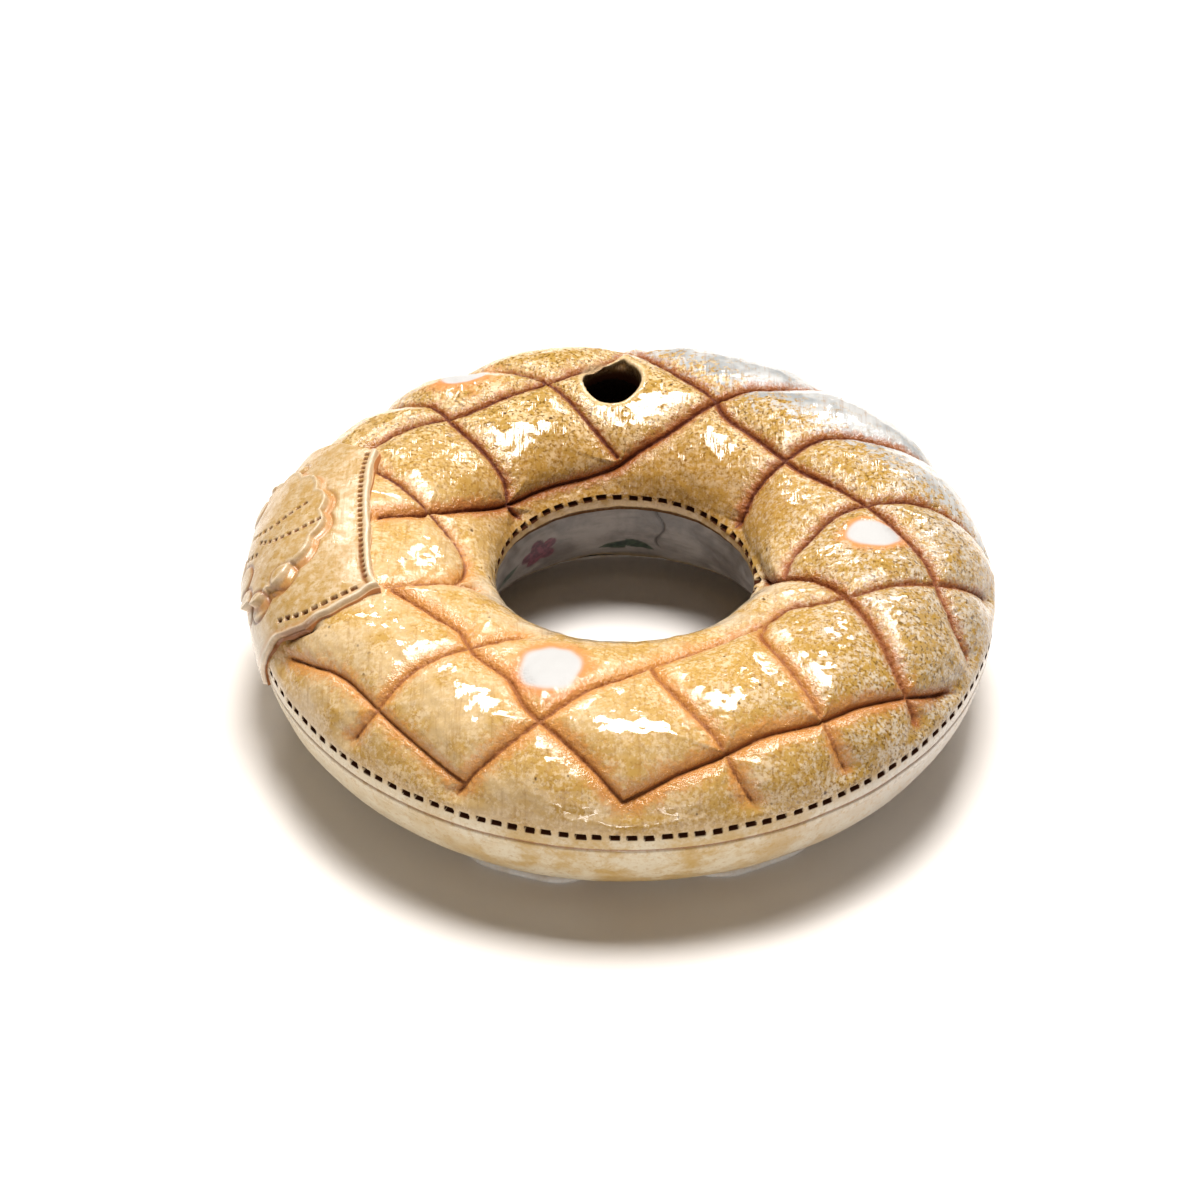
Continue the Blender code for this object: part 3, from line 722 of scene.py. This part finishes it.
def outer_band_material():
    """The stitched band: the top's ochre above, running into the cream slip below the punched line."""
    nodes = Nodes("stitched_band_glaze")
    slip_colour(nodes)
    slip = nodes.colour
    speckled_ochre(nodes)
    glaze_zones(nodes)
    height = nodes.plus(nodes.axis("Z"), nodes.times(nodes.noise(4 * MM), 2.0 * MM))
    above = nodes.range(height, OUTER_EQUATOR_HEIGHT - 1.2 * MM, OUTER_EQUATOR_HEIGHT + 2.4 * MM)
    nodes.colour = nodes.mix(above, slip, nodes.colour)
    nodes.coat("line", SEAM_BROWN, 0.8)
    # Painted shade: the stitch holes are coloured near-black.
    nodes.coat("hole", HOLE_PAINTED_SHADE)
    rough = nodes.range(nodes.noise(3 * MM), 0.3, 0.7, 0.16, 0.34)
    rough = nodes.math("MAXIMUM", rough, nodes.times("hole", 0.9))
    return nodes.finish(rough, glaze_relief(nodes, ribs=False), matt_in_holes(nodes))


def inner_wall_material():
    """The hole's wall: grey slip, painted darker than it is as the hole's shade, with dark fire marks and
    small painted flower sprigs.
    """
    nodes = Nodes("shaded_grey_slip")
    cloud = nodes.noise(8 * MM, 4.0, 0.6)
    nodes.colour = nodes.mix(nodes.range(cloud, 0.35, 0.65), WALL_GREY_SHADED, WALL_PALE_SHADED)
    streaks = nodes.noise(1.2 * MM, 3.0, 0.6, nodes.stretched((0.15, 0.15, 1.0)))
    nodes.coat(nodes.range(streaks, 0.45, 0.75), WALL_DARK, 0.5)
    nodes.coat("edge", WALL_OCHRE)
    paint = nodes.range(nodes.noise(1.2 * MM), 0.4, 0.6)
    nodes.coat("bloom", nodes.mix(paint, *PAINT_PINK))
    nodes.coat("leaf", nodes.mix(paint, *PAINT_GREEN))
    nodes.coat("line", CRACK_DARK)
    return nodes.finish(nodes.range(cloud, 0.3, 0.7, 0.30, 0.5), glaze_relief(nodes, ribs=False))


def patch_material():
    """The applied patch: pale peachy glaze, orange beside its relief and partly painted shade in those
    creases, brown in its holes darkened as their shade, and a painted shadow beside its front edge.
    """
    nodes = Nodes("patch_glaze")
    mottle = nodes.range(nodes.noise(2.0 * MM, 4.0, 0.65), 0.36, 0.66)
    nodes.colour = nodes.mix(mottle, PATCH_OCHRE, PATCH_CREAM)
    nodes.coat(nodes.range(nodes.noise(0.8 * MM, 3.0, 0.6), 0.52, 0.66), PATCH_OLIVE, 0.75)
    low = nodes.range(nodes.axis("Z"), OUTER_EQUATOR_HEIGHT + 10 * MM, OUTER_EQUATOR_HEIGHT + 1 * MM)
    nodes.coat(low, PATCH_WHITE, 0.8)
    nodes.coat("pale", PATCH_PALE, 0.75)
    # Orange in the creases round the relief: the glaze's own orange, deepened there as painted shade.
    nodes.coat("crease", PATCH_ORANGE, nodes.range(nodes.noise(2 * MM), 0.2, 0.5, 0.0, 0.75))
    # Brown outlines round the petals, partly painted shade in their grooves, and the painted shadow beside
    # the front edge.
    nodes.coat("outline", PATCH_BROWN_AND_SHADE, 0.85)
    nodes.coat("side", PATCH_SIDE)
    # Painted shade: the holes are darkened.
    nodes.coat("hole", PATCH_HOLE_SHADE)
    rough = nodes.range(nodes.noise(3 * MM), 0.3, 0.7, 0.22, 0.40)
    return nodes.finish(rough, glaze_relief(nodes), matt_in_holes(nodes))


def foot_material():
    """The foot: white bare clay, painted brown where it meets the body as the shade in that crevice."""
    nodes = Nodes("bare_white_clay")
    stain = nodes.range(nodes.noise(3 * MM, 4.0, 0.6), 0.4, 0.7)
    nodes.colour = nodes.mix(stain, FOOT_WHITE, FOOT_STAIN)
    nodes.coat("line", FOOT_CREVICE_SHADE)
    rough = nodes.range(nodes.noise(2 * MM), 0.3, 0.7, 0.28, 0.45)
    return nodes.finish(rough, glaze_relief(nodes, ribs=False))


def hollow_material():
    """Bare clay inside the vessel, painted near-black as the hollow's shade."""
    nodes = Nodes("shaded_inside_clay")
    nodes.colour = nodes.mix(nodes.noise(3 * MM, 4.0, 0.6), INSIDE_SHADE_DARK, INSIDE_SHADE_BROWN)
    return nodes.finish(0.85, nodes.bump(nodes.noise(1.5 * MM), 0.6, 0.4 * MM))


# Pieces of the ring

def bend_to_vent(points):
    """The skin turned down into the vent, its pale rim, its inside painted dark as shade, and the points to
    keep.
    """
    share, bearing, centre = vent_frame(points)
    near = share < VENT_LIP_SHARE
    offset = (bearing - VENT_NICK_ANGLE + 180.0) % 360.0 - 180.0
    nick = VENT_NICK_SHARE * bell(offset, VENT_NICK_HALF) * smooth(share, 0.75, 0.95)
    wanted = np.where(share < 1.0, 1.0 + 0.03 * wobble(points, 61, 9 * MM), share) * (1.0 + nick)
    scale = np.where(near, wanted / np.maximum(share, 1e-6), 1.0)[..., None]
    reach = np.clip((VENT_LIP_SHARE - share) / (VENT_LIP_SHARE - 1.0), 0.0, 1.0)
    shaft = np.clip((1.0 - share) / (1.0 - VENT_FLOOR_SHARE), 0.0, 1.0)
    drop = VENT_LIP_DROP * (1.0 - np.sqrt(1.0 - reach ** 2)) + VENT_SHAFT * shaft
    moved = points.copy()
    moved[..., :2] = centre + (points[..., :2] - centre) * scale
    moved[..., 2] -= np.where(near, drop, 0.0)
    # The vent's shaft is painted dark as its shade, through the hole field.
    inside = 0.72 * smooth(-share, -1.0, -0.93) + 0.28 * smooth(-share, -0.93, -0.65)
    rim = (1.0 - smooth(share, 1.02, VENT_LIP_SHARE)) * (1.0 - smooth(-share, -1.0, -0.93))
    return moved, rim, inside, share > VENT_FLOOR_SHARE


def make_cushion(material):
    """The quilted top between the two stitched bands, as an outer and an inner half, with the vent."""
    columns, rows = ((960, 102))
    halves = {
        "quilted_top_outer": (OUTER_BAND_TOP, CREST_SPLIT),
        "quilted_top_inner": (CREST_SPLIT, INNER_BAND_TOP),
    }
    for name, ends in halves.items():
        points, fields = skin(*angle_grid(columns, np.linspace(*ends, rows)))
        points, rim, inside, keep = bend_to_vent(points)
        fields.update(rim=0.75 * rim, hole=inside)
        make_piece(name, material, points, fields, keep=keep)


def punched_strip(ends, rows, count, centre, per_stitch):
    """Section angles, points and fields of a strip of the skin with a row of punched stitches."""
    azimuth, section = angle_grid(count * per_stitch, np.linspace(*ends, rows))
    points, fields = skin(azimuth, section)
    hole = stitch_mask(azimuth, section, count, centre)
    # The stitch holes are painted dark as their shade, one row up and down past their edge, so their walls
    # are dark too.
    dark = smooth(hole, 0.0, 0.08)
    fields["hole"] = np.maximum.reduce([dark, np.roll(dark, 1, axis=0), np.roll(dark, -1, axis=0)])
    return section, points - ring_normals(azimuth, section) * (hole * STITCH_DEPTH)[..., None], fields


def make_outer_band(material):
    """The outer equator: a row of punched stitches over a thin incised line."""
    per_stitch, rows = ((14, 36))
    ends = (BASE_TOP, OUTER_BAND_TOP)
    section, points, fields = punched_strip(ends, rows, OUTER_STITCHES, OUTER_STITCH_SECTION, per_stitch)
    fields["line"] = seam_line(section)
    make_piece("outer_stitched_band", material, points, fields)


def make_inner_band(material):
    """The inner edge of the quilted slab: a row of punched stitches over its rounded lip."""
    per_stitch, rows = ((16, 48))
    ends = (INNER_BAND_TOP, INNER_BAND_BOTTOM)
    section, points, fields = punched_strip(ends, rows, INNER_STITCHES, INNER_STITCH_SECTION, per_stitch)
    # The recess under the lip is painted dark as its shade, through the hole field.
    shadow = smooth(section, LIP_START + 0.5, LIP_END)
    fields["hole"] = np.maximum(fields["hole"], 0.85 * shadow)
    fields["rim"] = 0.5 * bell((section - LIP_START + 0.6) * 0.3 * MM, 0.5 * MM)
    make_piece("inner_stitched_band", material, points, fields)


def wall_place(grid, azimuth, section):
    """Flat coordinates on the hole's wall about a centre, in metres, for a grid of angles."""
    return (grid[0] - azimuth) * HOLE_RADIUS * pi / 180, (grid[1] - section) * 0.45 * MM


def sprig(grid, azimuth, section, size, petals):
    """A small flower mask: round petals about a centre, on the hole's wall."""
    x, y = wall_place(grid, azimuth, section)
    outline = size * (0.62 + 0.38 * np.abs(np.cos(np.arctan2(y, x) * petals / 2)))
    return 1.0 - smooth(np.hypot(x, y) - outline, -0.15 * MM, 0.15 * MM)


def leaf_shape(grid, azimuth, section, length, width, lean):
    """A pointed leaf mask on the hole's wall."""
    x, y = wall_place(grid, azimuth, section)
    along = x * cos(lean) + y * sin(lean)
    across = -x * sin(lean) + y * cos(lean)
    half = width * np.clip(1.0 - (along / length) ** 2, 0.0, 1.0)
    return smooth(half - np.abs(across), 0.0, 0.25 * MM)


def make_inner_wall(material):
    """The plain wall of the hole under the slab's lip, with its painted sprigs and a drying crack."""
    columns, rows = ((624, 60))
    grid = angle_grid(columns, np.linspace(INNER_BAND_BOTTOM, INNER_WALL_BOTTOM, rows))
    section = grid[1]
    points, fields = skin(*grid)
    crack_reach = wall_place(grid, CRACK_AZIMUTH + 2.0 * np.sin(section / 4.0), 0.0)[0]
    crack = bell(crack_reach, CRACK_HALF) * (1.0 - smooth(section, *CRACK_FADE))
    points = points - ring_normals(*grid) * (CRACK_DEPTH * crack)[..., None]
    leaf = np.maximum.reduce([leaf_shape(grid, *place) for place in LEAVES])
    bloom = np.maximum.reduce([sprig(grid, *place) for place in SPRIGS])
    fields.update(line=crack, bloom=bloom * (1.0 - leaf), leaf=leaf, edge=smooth(section, 222.0, 234.0))
    make_piece("hole_wall", material, points, fields)


def make_base(material):
    """The smooth lower half, from the foot of the hole's wall under the ring to the stitched band."""
    columns, rows = ((480, 72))
    azimuth, section = angle_grid(columns, np.linspace(INNER_WALL_BOTTOM, BASE_TOP + 360.0, rows))
    plain = ring_points(azimuth, section)
    recess = LIP_RECESS * (1.0 - smooth(section, LIP_END, LIP_RECESS_END))
    line = seam_line(section - 360.0)
    height = SWELL_BELOW * swell(plain) - recess - SEAM_LINE_DEPTH * line
    points = plain + ring_normals(azimuth, section) * height[..., None]
    points[..., 2] = np.maximum(points[..., 2], 0.2 * MM)
    # inside: where the underside towards the hole is painted dark as shade
    make_piece("smooth_base", material, points, {"inside": 1.0 - smooth(section, 262.0, 290.0), "line": line})


def make_hollow(material):
    """The inside of the vessel, seen through the vent."""
    columns, rows = ((180, 40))
    points = ring_points(*angle_grid(columns, np.linspace(0.0, 360.0, rows)), WALL)
    make_piece("hollow_inside", material, points, {}, keep=vent_frame(points)[0] > 0.95, flip=True)


def stitch_holes(points, centres, length, width):
    """1 inside small rectangles laid along a line of centres, given as rows of azimuth and section."""
    mask = np.zeros(points.shape[:-1])
    places = ring_points(*centres.T)
    for number, place in enumerate(places):
        forward = unit(places[min(number + 1, len(places) - 1)] - places[max(number - 1, 0)])
        sideways = np.cross(ring_normals(*centres[number]), forward)
        offset = points - place
        gap = np.maximum(np.abs(offset @ forward) - length / 2, np.abs(offset @ sideways) - width / 2)
        close = np.linalg.norm(offset, axis=-1) < 3 * length
        mask = np.maximum(mask, np.where(close, 1.0 - smooth(gap, -0.2 * MM, 0.12 * MM), 0.0))
    return mask


def spaced(points, pitch):
    """Evenly spaced rows of azimuth and section along a smooth line."""
    line = smooth_line(points, 0.2 * MM)
    places = ring_points(*line.T)
    walked = np.concatenate([[0.0], np.cumsum(np.linalg.norm(np.diff(places, axis=0), axis=1))])
    return line[np.searchsorted(walked, np.arange(pitch / 2, walked[-1], pitch))]


def medallion_fields(azimuth, section):
    """How far inside the medallion's scalloped edge a point is, in metres, and its polar place."""
    x = (azimuth - MEDALLION_AZIMUTH) / MEDALLION_HALF_AZIMUTH
    y = (section - MEDALLION_SECTION) / MEDALLION_HALF_SECTION
    reach, bearing = np.hypot(x, y), np.arctan2(y, x)
    outline = 1.0 - MEDALLION_SCALLOP_DEPTH * (1.0 - np.abs(np.sin(bearing * MEDALLION_SCALLOPS / 2)))
    return (outline - reach) * 17 * MM, reach, bearing


# Rows of holes on the patch: points, spacing, length and width of each hole
PATCH_CREST_ROW = (((-112, 75.5), (-105, 79), (-98, 82), (-90, 84), (-82, 84), (-74, 82), (-68, 80)),
                   1.6 * MM, 0.95 * MM, 0.85 * MM)
PATCH_FRONT_ROW = (((-66.6, 76), (-66.6, 66), (-67.0, 56), (-68.0, 46), (-69.6, 38), (-71.0, 31)),
                   2.1 * MM, 1.3 * MM, 0.95 * MM)
MEDALLION_HOLE_ROWS = (
    (((-97, 12), (-93.5, 26), (-92.5, 38), (-93.5, 47), (-95, 57)), 1.6 * MM, 0.95 * MM, 0.9 * MM),
    (((-91, 28), (-88.6, 40), (-88, 52), (-89, 66)), 1.6 * MM, 0.95 * MM, 0.9 * MM),
    (((-92, 8), (-90, 18), (-88, 30)), 1.6 * MM, 0.95 * MM, 0.9 * MM),
)
# Petals and buds round the medallion: azimuth, section angle, radius, strength of the brown outline
MEDALLION_PETALS = (
    (-78.5, 44.0, 2.7 * MM, 0.5), (-77.5, 22.0, 2.8 * MM, 1.0), (-86.0, 12.0, 3.4 * MM, 1.0),
    (-81.0, 10.0, 3.4 * MM, 1.0), (-91.0, 2.0, 3.4 * MM, 0.9), (-103.0, 12.0, 3.0 * MM, 0.7),
    (-107.0, 22.0, 1.5 * MM, 0.5), (-109.0, 30.0, 1.5 * MM, 0.5), (-108.5, 40.0, 1.5 * MM, 0.5),
)


def hole_rows(points, rows):
    """1 inside every hole of the rows."""
    masks = [stitch_holes(points, spaced(line, pitch), length, width) for line, pitch, length, width in rows]
    return np.maximum.reduce(masks)


def make_patch(material):
    """The patch: a thin slab over the ring's left side, with stitched edges and a scalloped medallion."""
    columns, rows = ((280, 240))
    across, up = np.meshgrid(np.linspace(0.0, 1.0, columns), np.linspace(0.0, 1.0, rows))
    low, high = PATCH_FRONT_EDGE[0][0], PATCH_FRONT_EDGE[-1][0]
    section = low + (high - low) * up
    back = along_edge(PATCH_BACK_EDGE, section) + 0.3 * np.sin(section / 4.0 + 2.0)
    front = along_edge(PATCH_FRONT_EDGE, section) + 0.2 * np.sin(section / 5.0) + 0.1 * np.sin(section / 2.3)
    azimuth = back + (front - back) * across
    crest = along_edge(PATCH_CREST_EDGE, azimuth)
    section = low + (crest - low) * up + up ** 6 * 0.4 * np.sin(azimuth / 1.7)
    plain = ring_points(azimuth, section)
    degree = np.linalg.norm(plain[..., :2], axis=-1) * pi / 180
    to_front, to_crest = (front - azimuth) * degree, (crest - section) * 0.40 * MM
    selvage = np.minimum(to_front, to_crest)
    edge = np.minimum(selvage, np.minimum((azimuth - back) * degree, (section - low) * 0.36 * MM))
    height = PATCH_TOP * (0.35 + 0.65 * smooth(edge, 0.0, PATCH_EDGE_ROUND))
    lip = bell(selvage - 0.75 * MM, 0.55 * MM) * smooth(section, 14.0, 28.0)
    height += 0.35 * MM * lip + 0.12 * MM * wobble(plain, 71, 9 * MM)
    corner = np.linalg.norm(plain - ring_points(-66.0, 80.0), axis=-1)
    height += 0.45 * MM * bell(corner, 1.5 * MM)
    inside, reach, bearing = medallion_fields(azimuth, section)
    scallop = np.abs(np.sin(bearing * MEDALLION_SCALLOPS / 2))
    plate = smooth(inside, -0.15 * MM, 0.40 * MM)
    rim = bell(inside - 0.55 * MM, 0.5 * MM)
    height += plate * (MEDALLION_RISE + 0.28 * MM * scallop * smooth(reach, 0.60, 0.92)) + 0.22 * MM * rim
    arc = bell(inside + 1.3 * MM, 0.6 * MM) * smooth(np.cos(bearing - 0.9), 0.1, 0.7)
    height -= 0.65 * MM * arc
    groove = bell(to_crest - 2.0 * MM, 0.4 * MM) * smooth(azimuth, -88.0, -76.0)
    groove = groove * smooth(to_front, 0.5 * MM, 2.0 * MM)
    crest_row = np.maximum(0.75 * hole_rows(plain, (PATCH_CREST_ROW,)), 0.4 * groove)
    stitches = np.maximum(crest_row, hole_rows(plain, (PATCH_FRONT_ROW,)))
    small = 0.85 * hole_rows(plain, MEDALLION_HOLE_ROWS)
    outline = np.zeros_like(height)
    for petal_azimuth, petal_section, radius, strength in MEDALLION_PETALS:
        away = np.linalg.norm(plain - ring_points(petal_azimuth, petal_section), axis=-1)
        domed = np.sqrt(np.clip(1.0 - (away / radius) ** 2, 0.0, 1.0))
        height += (0.40 * MM * domed - 0.20 * MM * bell(away - radius - 0.2 * MM, 0.35 * MM)) * (1.0 - small)
        # The brown outline round each petal sits in its groove, painted partly as that groove's shade.
        outline = np.maximum(outline, strength * bell(away - radius - 0.15 * MM, 0.40 * MM))
    height -= 0.9 * MM * stitches + 0.7 * MM * small
    normals = ring_normals(azimuth, section)
    top = plain + normals * height[..., None]
    # Painted shadow: a dark band beside the lower front edge, where the slab lifts off, carried in the
    # outline field.
    beside = bell(to_front, 1.2 * MM) * smooth(section, 24.0, 32.0) * (1.0 - smooth(section, 46.0, 54.0))
    fields = {
        "hole": 0.9 * smooth(np.maximum(stitches, small), 0.0, 0.5),
        # crease: corners and grooves round the relief, coloured orange, partly as painted shade
        "crease": np.clip(0.9 * bell(inside + 0.5 * MM, 0.5 * MM) + arc + 0.5 * bell(edge, 0.4 * MM)
                          + 0.5 * bell(selvage - 1.9 * MM, 0.5 * MM), 0.0, 1.0),
        "outline": np.maximum(outline, 0.8 * beside),
        "pale": np.clip(lip + 0.5 * rim, 0.0, 1.0),
        "side": np.zeros_like(height),
    }
    top, fields = with_skirt(top, plain + normals * PATCH_BOTTOM, fields)
    make_piece("stitched_patch", material, top, fields, closed=False)


def with_skirt(top, bottom, fields):
    """Add a border of two more rows and columns that turn down into the ring on all four sides."""
    def widened(array):
        return np.pad(array, ((2, 2), (2, 2)) + ((0, 0),) * (array.ndim - 2), mode="edge")

    border = np.ones(widened(fields["side"]).shape, dtype=bool)
    border[1:-1, 1:-1] = False
    grown = widened(top)
    grown[border] = widened(bottom)[border]
    wide = {key: widened(values) for key, values in fields.items()}
    wide["side"][:] = 1.0
    wide["side"][2:-2, 2:-2] = 0.0
    return grown, wide


def make_foot(material):
    """The foot: a disc with eight broad lobes and a softly rounded edge, flat underneath."""
    columns = 720
    azimuth, level = angle_grid(columns, np.arange(len(FOOT_PROFILE)))
    outward, height = np.moveaxis(np.array(FOOT_PROFILE)[level.astype(int)], -1, 0)
    pitch = 360.0 / FOOT_LOBES
    offset = (azimuth - FOOT_LOBE_AZIMUTH + pitch / 2) % pitch - pitch / 2
    share = np.minimum(1.0, np.abs(offset) / FOOT_LOBE_HALF_WIDTH)
    outer = FOOT_RADIUS + FOOT_LOBE_REACH * (1.0 - share ** 4)
    turn = np.radians(azimuth)
    radius = FOOT_INNER_RADIUS + (outer - FOOT_INNER_RADIUS) * outward
    radius = radius + (outward > 0.9) * 0.15 * MM * np.sin(turn * 23)
    points = np.stack([radius * np.sin(turn), -radius * np.cos(turn), FOOT_THICKNESS * height], axis=-1)
    # line: the crevice under the body, painted brown as its shade
    line = smooth(height, 0.95, 1.0) * smooth(outward, 0.98, 0.9)
    make_piece("lobed_foot", material, points, {"line": line})


# Stage, light and camera

def make_floor():
    """A plain pale floor for the doughnut to stand on."""
    bpy.ops.mesh.primitive_plane_add(size=8.0, location=(0.0, 0.0, -0.0001))
    floor = bpy.context.object
    floor.name = "floor"
    nodes = Nodes("pale_floor")
    nodes.colour = FLOOR_WHITE
    floor.data.materials.append(nodes.finish(0.9, specular=0.1))


def make_light(name, place, size, power, colour=LIGHT_NEUTRAL):
    """A soft rectangular light aimed at the doughnut."""
    lamp = bpy.data.lights.new(name, "AREA")
    lamp.shape = "RECTANGLE"
    lamp.size, lamp.size_y = size
    lamp.energy = power
    lamp.color = colour
    item = bpy.data.objects.new(name, lamp)
    item.location = place
    item.rotation_euler = (Vector((0.0, 0.0, 0.02)) - Vector(place)).to_track_quat("-Z", "Y").to_euler()
    bpy.context.scene.collection.objects.link(item)


def make_lights():
    """A soft key light high behind, two small ones lower behind, three in front, and a faint surround."""
    make_light("key", (0.03, 0.23, 1.09), (0.52, 0.42), 21.5)
    make_light("back_left", (-0.30, 0.85, 0.70), (0.22, 0.16), 2.4)
    make_light("back_right", (0.35, 0.85, 0.70), (0.22, 0.16), 2.6)
    make_light("high_front", (0.08, -0.38, 1.05), (0.14, 0.12), 0.1)
    make_light("low_front", (0.0, -1.30, 0.60), (1.20, 0.50), 3.2, (1.0, 0.95, 0.90))
    make_light("front_card", (-0.02, -1.32, 0.36), (0.26, 0.14), 1.3, (1.0, 0.97, 0.93))
    world = bpy.data.worlds.new("surround")
    bpy.context.scene.world = world
    world.use_nodes = True
    background = world.node_tree.nodes["Background"]
    background.inputs["Color"].default_value = (1.0, 0.88, 0.76, 1.0)
    background.inputs["Strength"].default_value = 0.02


def make_camera():
    """The photograph's view: a long lens from the front, looking down."""
    angle = radians(CAMERA_ELEVATION)
    back = Vector((0.0, -cos(angle), sin(angle)))
    right = Vector((1.0, 0.0, 0.0))
    up = back.cross(right)
    per_pixel = CAMERA_DISTANCE / FOCAL_PIXELS
    centre = Vector((0.0, 0.0, CAMERA_TARGET_HEIGHT))
    place = centre + back * CAMERA_DISTANCE
    aim = centre - right * (AXIS_PIXEL[0] - PHOTO_PIXELS / 2) * per_pixel
    aim = aim + up * (AXIS_PIXEL[1] - PHOTO_PIXELS / 2) * per_pixel
    lens = bpy.data.cameras.new("photo_camera")
    lens.sensor_width = 36.0
    lens.lens = FOCAL_PIXELS / PHOTO_PIXELS * 36.0
    lens.clip_start = 0.01
    camera = bpy.data.objects.new("photo_camera", lens)
    camera.location = place
    camera.rotation_euler = (aim - place).to_track_quat("-Z", "Y").to_euler()
    bpy.context.scene.collection.objects.link(camera)
    bpy.context.scene.camera = camera


def build():
    """Everything that is seen."""
    top = cushion_material()
    make_cushion(top)
    make_inner_band(top)
    make_outer_band(outer_band_material())
    make_base(base_material())
    make_inner_wall(inner_wall_material())
    make_hollow(hollow_material())
    make_patch(patch_material())
    make_foot(foot_material())
    make_floor()
    make_lights()
    make_camera()
    bpy.context.scene.view_settings.view_transform = "Standard"


build()
